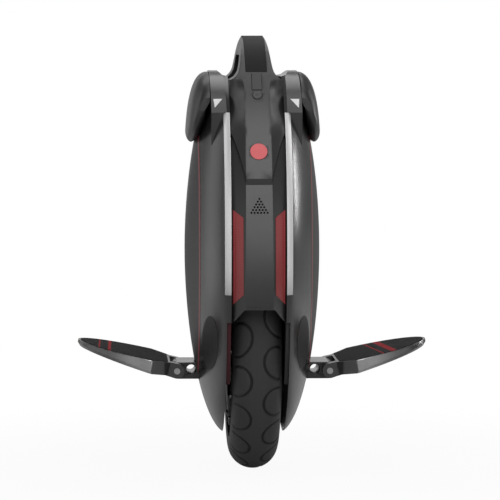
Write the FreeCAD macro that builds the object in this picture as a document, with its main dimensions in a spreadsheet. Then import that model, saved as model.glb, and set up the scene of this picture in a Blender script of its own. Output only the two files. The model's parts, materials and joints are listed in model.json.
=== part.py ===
import FreeCAD, Part
import Sketcher
import math
import os
import re
from types import SimpleNamespace

# Electric unicycle standing on its tyre, in millimetres.
# X runs left to right, Y from rear to front, Z up, ground at zero.

Vec = FreeCAD.Vector

SIZES = {
    # wheel and motor
    "tyre_radius": 208,
    "tyre_width": 67,
    "tyre_wall": 6,
    "tread_ring": 24,
    "tread_reach": 33,
    "tread_edge": 31,
    "tread_width": 3,
    "tread_depth": 1.8,
    "tread_count": 22,
    "tread_phase": 4.6,
    "seat_radius": 152,
    "rim_half": 28,
    "flange_wall": 3,
    "flange_rise": 11,
    "bead_width": 7.5,
    "rotor_inner": 134,
    "magnet_wall": 4.5,
    "air_gap": 0.9,
    "stator_half": 15,
    "stator_inner": 62,
    "slot_count": 36,
    "slot_depth": 26,
    "slot_width": 5,
    "winding_wall": 5,
    "cover_disc": 4,
    "dish_wall": 3,
    "dish_step": 20,
    "boss_radius": 27,
    "bearing_radius": 21,
    "bearing_width": 12,
    "bearing_start": 22,
    "axle_radius": 10,
    "axle_half": 59,
    "axle_collar": 14,
    "web_half": 6,
    "spider_half": 12,
    "spider_wall": 8,
    "nut_flats": 30,
    "nut_height": 8,
    "screw_count": 12,
    "screw_radius": 3.4,
    "screw_height": 2.4,
    "screw_socket": 1.5,
    "run_gap": 0.05,
    # inner frame
    "frame_half": 36,
    "frame_wall": 5,
    "frame_inset": 8,
    "frame_drop": 79,
    "frame_rise": 228,
    "arch_gap": 7,
    "arch_wall": 3,
    "arch_lift": 116,
    # side shells
    "shell_half": 92,
    "shell_overhang": 26,
    "shell_lift": 92,
    "shell_up": 245,
    "shell_down": 251,
    "shell_wall": 3,
    "power_up": 2.3,
    "power_down": 2.05,
    "dome_power": 1.85,
    "plan_power": 1.5,
    "dip_down": 9.5,
    "dip_width": 14,
    "dip_slope": 2,
    "notch_lift": 7,
    "notch_width": 5.4,
    "seam_half": 75,
    "seam_width": 1.6,
    "trim_down": 48.5,
    "trim_up": 189,
    "trim_width": 8.4,
    "trim_start": 0.3,
    "trim_gap": 0.2,
    "inlay_depth": 1.4,
    "inlay_rise": 0.5,
    "mark_rise": 0.3,
    "line_rise": 0.25,
    "mark_up": 206.5,
    "mark_height": 11.5,
    "mark_start": 9,
    "mark_width": 12,
    "heel_half": 26,
    "heel_down": 116.5,
    "heel_long": 37,
    "heel_wide": 9.4,
    "door_gap": 1.5,
    # shoulders
    "band_start": 4,
    "band_width": 24,
    "band_inset": 2,
    "band_up": 191,
    "band_slope": 4,
    "pad_up": 243,
    "pad_down": 97,
    "pad_middle": 43,
    "pad_reach": 126,
    "pad_power": 2.6,
    "pad_gap": 0.45,
    # centre body
    "ridge_overhang": 47.5,
    "ridge_lift": 22,
    "ridge_rise": 360,
    "ridge_power": 2.15,
    "core_gap": 0.3,
    "flat_half": 16.8,
    "cover_drop": 194,
    "cover_wall": 5,
    "cover_step": 0.4,
    "hem_rise": 15,
    "vee_rise": 58,
    "vee_end": 33.5,
    "deck_depth": 92,
    "deck_wall": 14,
    "grip_depth": 26,
    "gap_low_half": 78,
    "gap_high_half": 62,
    "gap_round": 14,
    "handle_drop": 55,
    "facet_low": 7,
    "facet_vee": 12,
    "facet_mid": 26,
    "facet_deep": 38,
    "facet_end": 24,
    "flank_wall": 3.5,
    "fender_wall": 3,
    "fender_fall": 18,
    "fender_lap": 60,
    "fender_clear": 16,
    "flank_drop": 6,
    "lip_lift": 4,
    "lip_half": 19.7,
    "bead_rise": 1.8,
    "bead_depth": 3,
    # lights and sound
    "lens_lift": 9.5,
    "lens_height": 124,
    "lens_slant_low": 14,
    "lens_slant_high": 10,
    "lens_inner": 4.1,
    "lens_outer": 1.4,
    "lens_depth": 2,
    "hole_pitch": 4.2,
    "hole_row": 3.6,
    "hole_radius": 1.1,
    "hole_rows": 6,
    "grille_drop": 18,
    "speaker_radius": 15,
    "speaker_depth": 13,
    "badge_lift": 43,
    "badge_radius": 11.2,
    "badge_depth": 1.6,
    "lamp_lift": 18,
    "lamp_height": 50,
    "lamp_half": 12,
    "lamp_depth": 16,
    # pull-out handle and keys
    "pole_lean": 20,
    "pole_inset": 19,
    "pole_drop": 45,
    "pole_length": 275,
    "sleeve_top": 10.5,
    "bar_top": 25,
    "sleeve_width": 29,
    "sleeve_depth": 15,
    "tube_wall": 1.7,
    "tube_gap": 0.3,
    "strip_half": 14,
    "strip_depth": 7,
    "strip_drop": 48,
    "strip_front": 45,
    "key_width": 13,
    "key_length": 31,
    "key_drop": 60.5,
    "button_radius": 6.4,
    "button_drop": 78.3,
    "key_depth": 8,
    "key_rise": 0.8,
    "key_round": 0.5,
    "well_depth": 10.5,
    "key_gap": 0.35,
    "switch_width": 14,
    "switch_length": 34,
    "switch_height": 6,
    "switch_drop": 3.5,
    "switch_travel": 5,
    # charging
    "port_drop": 70,
    "port_radius": 11.5,
    "port_bore": 6,
    "port_depth": 15,
    "port_floor": 3,
    "port_rise": 0.6,
    "cap_radius": 13,
    "cap_wall": 3.2,
    "cap_lift": 0.9,
    "tab_half": 5,
    "tab_length": 3,
    # power
    "battery_width": 22,
    "battery_length": 220,
    "battery_lift": 54,
    "battery_height": 166,
    "battery_round": 5,
    "board_length": 150,
    "board_width": 62,
    "board_wall": 1.8,
    "sink_length": 120,
    "sink_width": 56,
    "sink_base": 5,
    "fin_wall": 2.5,
    "fin_count": 9,
    "fin_height": 9,
    # pedals
    "pin_half": 103.5,
    "pin_drop": 71,
    "pin_radius": 4.2,
    "hanger_half": 40,
    "hanger_wall": 9,
    "hanger_top": 10.5,
    "hanger_low": 12,
    "hanger_nose": 9.5,
    "hanger_hole": 6.5,
    "hanger_hole_half": 84,
    "hanger_rise": 32,
    "hanger_neck": 26,
    "hanger_foot": 40,
    "lug_wall": 18,
    "lug_radius": 10,
    "lug_gap": 0.6,
    "pedal_tilt": 12.5,
    "pedal_reach": 139,
    "pedal_half": 97,
    "pedal_start": 11.5,
    "pedal_straight": 36,
    "pedal_neck": 61,
    "pedal_top": 10,
    "pedal_wall": 18,
    "pedal_tip_wall": 7,
    "pedal_bevel": 3.5,
    "pad_inset": 3,
    "pad_wall": 1.6,
    "pad_sunk": 1,
}

doc = FreeCAD.newDocument("electric_unicycle")
sheet = doc.addObject("Spreadsheet::Sheet", "Sizes")
for row, (alias, number) in enumerate(SIZES.items(), start=1):
    sheet.set(f"A{row}", alias)
    sheet.set(f"B{row}", str(number))
    sheet.setAlias(f"B{row}", alias)
doc.recompute()
s = SimpleNamespace(**{alias: float(sheet.get(alias)) for alias in SIZES})
finished = []

# Heights and reaches that follow the wheel
core_half = s.frame_half - s.core_gap
shell_reach = s.tyre_radius + s.shell_overhang
shell_middle = s.tyre_radius + s.shell_lift
ridge_half = s.tyre_radius + s.ridge_overhang
ridge_base = s.tyre_radius + s.ridge_lift
ridge_top = ridge_base + s.ridge_rise
cover_low = ridge_top - s.cover_drop
vee_high = cover_low + s.vee_rise
deck_under = ridge_top - s.deck_depth
deck_top = deck_under + s.deck_wall
grip_under = ridge_top - s.grip_depth
handle_low = ridge_top - s.handle_drop
fender_low = ridge_base - s.fender_fall
fender_high = cover_low + s.fender_lap
lamp_low = cover_low + s.lamp_lift
lamp_high = lamp_low + s.lamp_height
pin_height = s.tyre_radius - s.pin_drop
lug_start = s.hanger_half + s.lug_gap
beyond = 2 * ridge_top


# Naming, formulas and document objects

def bind(formula):
    """Point every size name in a formula at the sheet."""
    return re.sub(r"[a-z_]+", lambda word: f"Sizes.{word[0]}" if word[0] in SIZES else word[0], formula)


def number_of(formula):
    return float(sheet.evalExpression(bind(formula)))


def tie(thing, formulas):
    for prop, formula in formulas.items():
        thing.setExpression(prop, bind(formula))
    return thing


def node(thing, label):
    """Mark a document object as one sub-part."""
    thing.Label = label
    finished.append(thing)
    return thing


def shaped(label, shape):
    """A sub-part whose shape is worked out from the sheet below."""
    if shape.ShapeType == "Compound" and len(shape.Solids) == 1:
        shape = shape.Solids[0]
    thing = doc.addObject("Part::Feature", label)
    thing.Shape = shape
    return node(thing, label)


def mirrored(shape):
    return shape.mirror(Vec(0, 0, 0), Vec(1, 0, 0))


def to_front(shape):
    return shape.mirror(Vec(0, 0, 0), Vec(0, 1, 0))


def both_sides(label, right_shape):
    shaped(f"{label}_right", right_shape)
    shaped(f"{label}_left", mirrored(right_shape))


def sketch_on(body, role, name):
    sketch = body.newObject("Sketcher::SketchObject", name)
    plane = [feature for feature in body.Origin.OriginFeatures if feature.Role == role][0]
    sketch.AttachmentSupport = (plane, [""])
    sketch.MapMode = "FlatFace"
    return sketch


def pin_point(sketch, line, across, up):
    """Hold the start of a sketch line at two formulas."""
    for kind, axis, formula in (("DistanceX", -2, across), ("DistanceY", -1, up)):
        if formula == "0":
            sketch.addConstraint(Sketcher.Constraint("PointOnObject", line, 1, axis))
            continue
        held = sketch.addConstraint(Sketcher.Constraint(kind, -1, 1, line, 1, number_of(formula)))
        sketch.setExpression(f"Constraints[{held}]", bind(formula))


def draw(sketch, corners):
    """Closed outline of straight lines through corners given as formulas."""
    first = sketch.GeometryCount
    spots = [Vec(number_of(across), number_of(up), 0) for across, up in corners]
    count = len(spots)
    for index in range(count):
        sketch.addGeometry(Part.LineSegment(spots[index], spots[(index + 1) % count]), False)
    for index in range(count):
        joined = (index + 1) % count
        sketch.addConstraint(Sketcher.Constraint("Coincident", first + index, 2, first + joined, 1))
    for index, (across, up) in enumerate(corners):
        pin_point(sketch, first + index, across, up)


def pair(label, one, other):
    """Two alike pieces kept in one file."""
    both = doc.addObject("Part::Compound", label)
    both.Links = [one, other]
    return node(both, label)


def turned(label, corners, alone=True):
    """Ring about the axle from a half section in X and radius."""
    body = doc.addObject("PartDesign::Body", label)
    sketch = sketch_on(body, "XZ_Plane", f"{label}_section")
    draw(sketch, corners)
    ring = body.newObject("PartDesign::Revolution", f"{label}_turn")
    ring.Profile = sketch
    ring.ReferenceAxis = (sketch, ["H_Axis"])
    ring.Angle = 360
    tie(body, {"Placement.Base.z": "tyre_radius"})
    return node(body, label) if alone else body


def flipped(corners):
    """The same half section on the other side of the wheel."""
    return [(f"-({across})", up) for across, up in reversed(corners)]


def padded(body, sketch, name, length):
    pad = body.newObject("PartDesign::Pad", name)
    pad.Profile = sketch
    pad.Reversed = True
    tie(pad, {"Length": length})
    return pad


# Plain shape helpers

def prism(corners, along, start, length):
    """Polygon pushed along one axis; corners are in the other two axes in order."""
    spots = []
    for first, second in corners:
        spots.append({
            "x": Vec(start, first, second),
            "y": Vec(first, start, second),
        }[along])
    way = {"x": Vec(length, 0, 0), "y": Vec(0, length, 0)}[along]
    return Part.Face(Part.makePolygon(spots + spots[:1])).extrude(way)


def block(low, high):
    span = Vec(*high) - Vec(*low)
    return Part.makeBox(span.x, span.y, span.z, Vec(*low))


def rod(radius, length, start, way):
    return Part.makeCylinder(radius, length, Vec(*start), Vec(*way))


def loop(spots):
    return Part.Wire(Part.makePolygon(spots + spots[:1]))


def smooth(spots, closed=False):
    curve = Part.BSplineCurve()
    curve.interpolate(spots, PeriodicFlag=closed)
    return curve.toShape()


def signed_power(value, power):
    return math.copysign(abs(value) ** power, value)


def fullness(share, power):
    """How wide a rounded form still is, a share of the way to its end."""
    return (1 - min(1, abs(share)) ** power) ** (1 / power)


# The doubly curved side shells

outline_steps = 32
dome_shares = (0, 0.1, 0.22, 0.36, 0.5, 0.63, 0.75, 0.85, 0.92, 0.965, 0.99, 0.997)
domes = {}


def outline_wire(across, reach, height, inset):
    """Rounded outline of the side shell at one distance from the middle."""
    spots = []
    for step in range(outline_steps):
        angle = 2 * math.pi * step / outline_steps
        above = math.sin(angle) > 0
        tall = s.shell_up if above else s.shell_down
        power = s.power_up if above else s.power_down
        y = (shell_reach - inset) * reach * signed_power(math.cos(angle), 2 / power)
        z = shell_middle + (tall - inset) * height * signed_power(math.sin(angle), 2 / power)
        spots.append(Vec(across, y, z))
    return Part.Wire(smooth(spots, True))


def dome(inset):
    """Solid dome of the right shell, drawn in by an inset."""
    if inset not in domes:
        depth = s.shell_half - s.frame_half - inset
        wires = []
        for share in dome_shares:
            reach = fullness(share, s.plan_power)
            height = fullness(share, s.dome_power)
            wires.append(outline_wire(s.frame_half + depth * share, reach, height, inset))
        domes[inset] = Part.makeLoft(wires, True, False)
    return domes[inset].copy()


def skin(window, depth, rise):
    """Piece of the dome's skin inside a window."""
    return dome(-rise).cut(dome(depth)).common(window)


def rim_reach(z):
    above = z > shell_middle
    share = (z - shell_middle) / (s.shell_up if above else s.shell_down)
    return shell_reach * fullness(share, s.power_up if above else s.power_down)


def band_solid(inset):
    """Flat band over the top of the right shell, drawn in by an inset."""
    face = Part.Face(outline_wire(s.frame_half + s.band_start, 1, 1, s.band_inset + inset))
    band = face.extrude(Vec(s.band_width - s.band_start, 0, 0))
    edge = shell_middle + s.band_up
    foot = rim_reach(edge) - s.band_up / s.band_slope
    far = edge + (beyond - rim_reach(edge)) * s.band_slope
    under = [(-beyond, far), (-foot, shell_middle), (foot, shell_middle), (beyond, far), (beyond, -beyond),
             (-beyond, -beyond)]
    return band.cut(prism(under, "x", 0, beyond))


def dip_line(drop):
    """Line of the shell's dipped top beside the handle, lowered by a drop."""
    top = shell_middle + s.shell_up - drop
    low = top - s.dip_down
    start = s.frame_half
    return [(start, low), (start + s.dip_width / 2, low + s.dip_slope), (start + s.dip_width, top)]


def make_shells():
    seam_in = s.seam_half - s.seam_width / 2
    seam_out = s.seam_half + s.seam_width / 2
    whole = dome(0).cut(dome(s.shell_wall))
    door = block((0, -s.hanger_half - s.door_gap, pin_height - s.hanger_low - s.door_gap),
                 (beyond, s.hanger_half + s.door_gap, pin_height + s.hanger_top + s.door_gap))
    panel = whole.common(block((seam_out, -beyond, 0), (beyond, beyond, beyond)))
    accent = skin(block((seam_in, -beyond, 0), (seam_out, beyond, beyond)), s.shell_wall, s.line_rise)
    both_sides("side_panel", panel.cut(door))
    both_sides("accent_line", accent.cut(door))
    shell = whole.common(block((0, -beyond, 0), (seam_in, beyond, beyond)))
    shell = shell.fuse(band_solid(0).cut(dome(s.shell_wall / 2))).cut(door)
    dip = dip_line(0)
    lid = prism(dip + dip_line(s.shell_wall)[::-1], "y", -beyond, 2 * beyond).common(dome(s.shell_wall / 2))
    shell = shell.cut(prism(dip + [(s.frame_half, beyond)], "y", -beyond, 2 * beyond)).fuse(lid)
    notch = s.frame_half + s.notch_width
    shell = shell.cut(block((0, -beyond, 0), (notch, beyond, s.tyre_radius + s.notch_lift)))
    both_sides("side_shell", add_inlays(shell))


def add_inlays(shell):
    """Set the silver strips, the pale marks and the dark ovals into the shell's skin."""
    start = s.frame_half + s.trim_start
    end = start + s.trim_width
    low = shell_middle - s.trim_down
    high = shell_middle + s.trim_up
    gap = s.trim_gap
    for name, front, back in (("rear", -beyond, 0), ("front", 0, beyond)):
        room = block((0, front, low), (end, back, high))
        strip = block((start, front, low + gap), (end - gap, back, high - gap))
        shell = shell.cut(skin(room, s.inlay_depth + gap, s.shell_wall))
        both_sides(f"{name}_trim", skin(strip, s.inlay_depth, s.inlay_rise))
    left = s.frame_half + s.mark_start
    right = left + s.mark_width
    top = shell_middle + s.mark_up
    corners = [(left, top), (right, top), (right - s.mark_width / 8, top - s.mark_height)]
    window = prism(corners, "y", -beyond, beyond)
    floor = band_solid(s.inlay_depth)
    shell = shell.cut(band_solid(-s.shell_wall).cut(floor).common(window))
    both_sides("marker_inlay", band_solid(-s.mark_rise).cut(floor).common(window))
    oval = Part.Ellipse(Vec(0, 0, 0), s.heel_long, s.heel_wide).toShape()
    face = Part.Face(Part.Wire(oval))
    upright = FreeCAD.Rotation(Vec(0, 0, 1), Vec(-1, 0, 0), Vec(0, -1, 0), "ZXY")
    centre = Vec(s.frame_half + s.heel_half, 0, shell_middle - s.heel_down)
    face.Placement = FreeCAD.Placement(centre, upright)
    window = face.extrude(Vec(0, -beyond, 0))
    both_sides("heel_inlay", skin(window, s.inlay_depth, s.inlay_rise))
    return shell.cut(skin(window, s.inlay_depth, s.shell_wall))


def make_shoulder():
    """Moulded cap over the top of each shell, outside its band."""
    top = shell_middle + s.pad_up
    low = top - s.pad_down
    inner = s.frame_half + s.band_width
    edge = s.shell_half - 1.8
    middle = top - s.pad_middle
    section = [(inner + 2, top - 2), (inner + 8, top - 3.5), (inner + 15, top - 10),
               (inner + 19.5, top - 18.5), (inner + 24.5, top - 35), (edge - 1.7, top - 60),
               (edge, top - 80), (edge - 1.4, low + 5), (edge - 6, low), (inner + 18, low + 4),
               (inner + 9, low + 32), (inner + 2, top - 32)]
    wires = []
    for share in (-0.995, -0.96, -0.88, -0.74, -0.5, -0.2, 0.2, 0.5, 0.74, 0.88, 0.96, 0.995):
        full = fullness(share, s.pad_power)
        spots = []
        for across, up in section:
            x = inner + 1 + (across - inner - 1) * (0.35 + 0.65 * full)
            spots.append(Vec(x, share * s.pad_reach, middle + (up - middle) * full))
        wires.append(Part.Wire(smooth(spots, True)))
    cap = Part.makeLoft(wires, True, False).cut(dome(-s.pad_gap))
    both_sides("shoulder_cap", cap.cut(block((0, -beyond, 0), (inner + 2 * s.pad_gap, beyond, beyond))))


# The centre body: cover with carry handle, and the mudguards

ridge_steps = 32


def ridge_point(angle, inset):
    y = -(ridge_half - inset) * signed_power(math.cos(angle), 2 / s.ridge_power)
    z = ridge_base + (s.ridge_rise - inset) * math.sin(angle) ** (2 / s.ridge_power)
    return Vec(0, y, z)


def ridge_at(z, inset=0):
    """How far the middle line of the body lies from the wheel's plane at a height."""
    return (ridge_half - inset) * fullness(max(0, z - ridge_base) / (s.ridge_rise - inset), s.ridge_power)


def ridge_solid(inset, low, half):
    start = math.asin(((low - ridge_base) / (s.ridge_rise - inset)) ** (s.ridge_power / 2))
    turn = math.pi - 2 * start
    spots = [ridge_point(start + turn * step / ridge_steps, inset) for step in range(ridge_steps + 1)]
    wire = Part.Wire([smooth(spots), Part.makeLine(spots[-1], spots[0])])
    solid = Part.Face(wire).extrude(Vec(2 * half, 0, 0))
    solid.translate(Vec(-half, 0, 0))
    return solid


def ridge_frame(z, front=False):
    """Point on the ridge, the way up its slope and the way out of it."""
    up = Vec(0, ridge_at(z - 1) - ridge_at(z + 1), 2).normalize()
    out = Vec(0, -up.z, up.y)
    spot = Vec(0, -ridge_at(z), z)
    if front:
        spot.y, out.y, up.y = -spot.y, -out.y, -up.y
    return spot, up, out


def seat_on(shape, spot, up, out):
    """Move a shape drawn with Y up the slope and Z outward onto the ridge."""
    shape = shape.copy()
    turn = FreeCAD.Rotation(up.cross(out), up, out, "ZYX")
    shape.Placement = FreeCAD.Placement(spot, turn).multiply(shape.Placement)
    return shape


pole_height = ridge_top - s.pole_drop
pole_spot = Vec(0, s.pole_inset - ridge_at(pole_height), pole_height)


def on_pole(shape):
    """Stand a shape drawn along Z on the pull-out handle's line."""
    shape = shape.copy()
    turn = FreeCAD.Rotation(Vec(1, 0, 0), -s.pole_lean)
    shape.Placement = FreeCAD.Placement(pole_spot, turn).multiply(shape.Placement)
    return shape


def pole_block(width, depth, low, high):
    return on_pole(block((-width / 2, -depth / 2, low), (width / 2, depth / 2, high)))


def strip_window(grow):
    """Room of the grip strip, with a front end that follows the pull."""
    slope = math.tan(math.radians(s.pole_lean))
    low = ridge_top - s.strip_drop - grow
    front = s.strip_front + grow
    high = ridge_top + s.grip_depth
    rise = high - ridge_top
    fall = low - ridge_top
    corners = [(-beyond, low), (front + fall * slope, low), (front + rise * slope, high), (-beyond, high)]
    return prism(corners, "x", -s.strip_half - grow, 2 * (s.strip_half + grow))


def facet_tool(side, end, wall):
    """Wedge that slants the shield's flank back from its flat middle, a wall deeper in."""
    stations = ((cover_low - s.hem_rise, s.facet_low), (cover_low, s.facet_low), (vee_high, s.facet_vee),
                (deck_under - s.deck_wall, s.facet_mid), (deck_under, s.facet_deep),
                (deck_top + s.deck_wall / 2, s.facet_end), (handle_low, 0.5))
    width = core_half - s.flat_half
    wires = []
    for z, depth in stations:
        out = ridge_at(z) - wall
        spots = [(s.flat_half, out), (s.flat_half + 2 * width, out - 2 * depth),
                 (s.flat_half + 2 * width, out + s.deck_depth), (s.flat_half, out + s.deck_depth)]
        wires.append(loop([Vec(side * across, end * away, z) for across, away in spots]))
    return Part.makeLoft(wires, True, False)


def hem_tools():
    """Wedges below the shield's slanted hem at the rear: its flat end and its two V edges."""
    lean = Vec(0, -s.cover_wall, s.hem_rise)
    deep = s.cover_wall + s.cover_step
    low = -(ridge_at(cover_low) - deep)
    high = -(ridge_at(vee_high) - s.facet_vee * (s.vee_end - s.flat_half) / (core_half - s.flat_half) - deep)
    tools = []
    for one, two, way in (
            (Vec(-beyond, low, cover_low), Vec(beyond, low, cover_low), Vec(0, 0, -s.vee_rise)),
            (Vec(s.flat_half, low, cover_low), Vec(s.vee_end, high, vee_high), Vec(beyond, 0, -beyond)),
            (Vec(-s.flat_half, low, cover_low), Vec(-s.vee_end, high, vee_high), Vec(-beyond, 0, -beyond))):
        along = two - one
        start, end = one - along, two + along
        quad = [start - lean * 4, end - lean * 4, end + lean * 9, start + lean * 9]
        tools.append(Part.Face(loop(quad)).extrude(way))
    return tools


def handle_roof():
    """Outline of the body seen from behind: narrow grip, flaring into the full width."""
    flare = [(12.6, 1), (14.6, -3), (17.2, -12), (18.9, -22), (20.2, -32), (21.6, -41), (23.8, -48.5),
             (27.8, -54), (core_half, -58.5)]
    right = [Vec(across, 0, ridge_top + up) for across, up in flare]
    left = [Vec(-spot.x, 0, spot.z) for spot in reversed(right)]
    foot = [right[-1], Vec(core_half, 0, 0), Vec(-core_half, 0, 0), left[0]]
    edges = [smooth(right), smooth(left), Part.makeLine(left[-1], right[0])]
    edges += [Part.makeLine(one, two) for one, two in zip(foot, foot[1:])]
    roof = Part.Face(Part.Wire(Part.__sortEdges__(edges))).extrude(Vec(0, 2 * beyond, 0))
    roof.translate(Vec(0, -beyond, 0))
    return roof


def stadium(half, low, high):
    """Round-ended upright slot pushed along Y towards the front."""
    tall = block((-half, 0, low + half), (half, beyond, high - half))
    for z in (low + half, high - half):
        tall = tall.fuse(rod(half, beyond, (0, 0, z), (0, 1, 0)))
    return tall.removeSplitter()


def finger_gap():
    corners = [(-s.gap_low_half, deck_top), (s.gap_low_half, deck_top),
               (s.gap_high_half, grip_under), (-s.gap_high_half, grip_under)]
    gap = prism(corners, "x", -beyond, 2 * beyond)
    edges = [edge for edge in gap.Edges if edge.BoundBox.XLength > 1]
    return gap.makeFillet(s.gap_round, edges)


def layer(outer, inner, low):
    """Sheet between two insets of the ridge, wider than the body."""
    return ridge_solid(outer, low, beyond).cut(ridge_solid(inner, low, beyond))


def make_cover():
    cover = ridge_solid(0, cover_low, core_half)
    inside = ridge_solid(s.cover_wall, cover_low - s.hem_rise, beyond)
    inside = inside.common(block((-beyond, -beyond, 0), (beyond, beyond, deck_under)))
    for side in (-1, 1):
        for end in (-1, 1):
            inside = inside.cut(facet_tool(side, end, s.flank_wall))
            cover = cover.cut(facet_tool(side, end, 0))
    cover = cover.cut(inside).common(handle_roof()).cut(finger_gap())
    for tool in hem_tools():
        cover = cover.cut(tool).cut(to_front(tool))
    channel = layer(-s.cover_wall, s.strip_depth + s.tube_gap, cover_low)
    cover = cover.cut(channel.common(strip_window(s.tube_gap)))
    gap = 2 * s.tube_gap
    wall = 2 * s.tube_wall
    width, depth = s.sleeve_width, s.sleeve_depth
    cover = cover.cut(pole_block(width + gap, depth + gap, -s.pole_length, gap - s.sleeve_top))
    cover = cover.cut(pole_block(width - wall, depth - wall, -2 * s.sleeve_top, s.bar_top))
    for shape, drop in key_shapes(s.key_gap, -s.well_depth, s.well_depth):
        cover = cover.cut(seat_on(shape, *ridge_frame(ridge_top - drop)))
    snug = s.trim_gap
    cover = cover.cut(stadium(s.lamp_half + snug, lamp_low - snug, lamp_high + snug))
    port = rod(s.port_radius + snug, 2 * s.port_depth, (0, 0, -s.port_depth), (0, 0, 1))
    cover = cover.cut(seat_on(port, *ridge_frame(ridge_top - s.port_drop, True)))
    room = s.switch_height + s.switch_travel
    cover = cover.cut(switch_block(s.key_gap, grip_under - s.switch_height, room))
    badge = rod(s.badge_radius + snug, s.well_depth, (0, 0, -s.badge_depth), (0, 0, 1))
    place = ridge_frame(cover_low + s.badge_lift)
    shaped("carry_handle", cover.cut(seat_on(badge, *place)))
    plate = rod(s.badge_radius, s.badge_depth + s.inlay_rise, (0, 0, -s.badge_depth), (0, 0, 1))
    shaped("badge_disc", seat_on(plate, *place))
    make_headlight()


def make_headlight():
    low = cover_low - s.hem_rise
    seat = s.cover_wall - 1
    lens = layer(-s.inlay_rise, seat, low)
    shaped("headlight_lens", lens.common(stadium(s.lamp_half, lamp_low, lamp_high)))
    module = layer(seat, s.cover_wall + s.lamp_depth, low)
    shaped("headlight_module", module.common(stadium(s.lamp_half - 1, lamp_low + 1, lamp_high - 1)))


def switch_block(grow, low, height):
    half = s.switch_width / 2 + grow
    length = s.switch_length / 2 + grow
    return block((-half, -length, low), (half, length, grip_under + height))


def key_shapes(grow, low, high):
    """The latch key and the round power button, drawn on the slope."""
    half = s.key_width / 2 + grow
    length = s.key_length / 2 + grow
    key = block((-half, -length, low), (half, length, high))
    button = rod(s.button_radius + grow, high - low, (0, 0, low), (0, 0, 1))
    return (key, s.key_drop), (button, s.button_drop)


def make_keys():
    names = ("pole_latch_key", "power_button")
    for label, (key, drop) in zip(names, key_shapes(0, -s.key_depth, s.key_rise)):
        key = key.makeFillet(s.key_round, [edge for edge in key.Edges if edge.BoundBox.ZMin > 0])
        shaped(label, seat_on(key, *ridge_frame(ridge_top - drop)))
    paddle = switch_block(0, grip_under - s.switch_drop, s.switch_height)
    edges = [edge for edge in paddle.Edges if edge.BoundBox.ZMax < grip_under]
    shaped("lift_switch", paddle.makeFillet(2 * s.key_round, edges))


def make_pole():
    wall = 2 * s.tube_wall
    step = wall + 2 * s.tube_gap
    foot = -s.pole_length
    floor = s.tube_wall
    width, depth = s.sleeve_width, s.sleeve_depth
    sleeve = pole_block(width, depth, foot - 8, -s.sleeve_top)
    shaped("pole_sleeve", sleeve.cut(pole_block(width - wall, depth - wall, foot - 4, 0)))
    width, depth = width - step, depth - step
    middle = pole_block(width, depth, foot - 2, -s.sleeve_top - floor)
    shaped("pole_middle", middle.cut(pole_block(width - wall, depth - wall, foot + 2, 0)))
    width, depth = width - step, depth - step
    bar = pole_block(width, depth, foot + 4, s.bar_top)
    shaped("pole_inner", bar.common(ridge_solid(s.strip_depth, ridge_base + 1, beyond)))
    shaped("pole_grip", layer(0, s.strip_depth, cover_low).common(strip_window(0)))


def make_charge_port():
    place = ridge_frame(ridge_top - s.port_drop, True)
    socket = rod(s.port_radius, s.port_depth + s.port_rise, (0, 0, -s.port_depth), (0, 0, 1))
    socket = socket.cut(rod(s.port_bore, s.port_depth, (0, 0, s.port_floor - s.port_depth), (0, 0, 1)))
    shaped("charge_socket", seat_on(socket, *place))
    top = s.cap_lift + s.cap_wall
    lid = rod(s.cap_radius, s.cap_wall, (0, 0, s.cap_lift), (0, 0, 1))
    tab = block((-s.tab_half, 0, s.cap_lift), (s.tab_half, s.cap_radius + s.tab_length, top))
    lid = lid.fuse(tab).removeSplitter()
    lid = lid.makeFillet(s.cap_wall / 4, [edge for edge in lid.Edges if edge.BoundBox.ZMin > top - 0.1])
    shaped("charge_cap", seat_on(lid, *place))


fender_steps = 8


def fender_fill(grow, drop):
    """Solid under the mudguard's outer faces, moved out by grow and narrowed by drop."""
    wires = []
    for step in range(fender_steps + 1):
        share = step / fender_steps
        z = fender_low + (fender_high - fender_low) * share
        out = ridge_at(z, s.cover_wall + s.cover_step) + grow
        side = rim_reach(z) - s.flank_drop + grow
        flat = s.flat_half + 1.7 * (1 - share) - drop / 2
        half = core_half - drop
        near = s.tyre_radius / 2
        spots = [(-half, near), (-half, side), (-flat, out), (flat, out), (half, side), (half, near)]
        wires.append(loop([Vec(across, -away, z) for across, away in spots]))
    return Part.makeLoft(wires, True, False)


def lip_tool(rise):
    """Everything below the mudguard's slanted lip, raised by a rise."""
    lip = ridge_base + s.lip_lift + rise
    end = fender_low + rise
    wide = core_half + 1
    corners = [(-wide, 0), (wide, 0), (wide, end), (s.lip_half, lip), (-s.lip_half, lip), (-wide, end)]
    return prism(corners, "y", -beyond, 2 * beyond)


def lens_window(grow):
    inner = s.flat_half + s.lens_inner - grow
    outer = core_half - s.lens_outer + grow
    low = ridge_base + s.lens_lift - grow
    high = low + s.lens_height + 2 * grow
    corners = [(inner, low + s.lens_slant_low), (outer, low), (outer, high)]
    corners.append((inner, high - s.lens_slant_high))
    return prism(corners, "y", -beyond, beyond)


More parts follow.
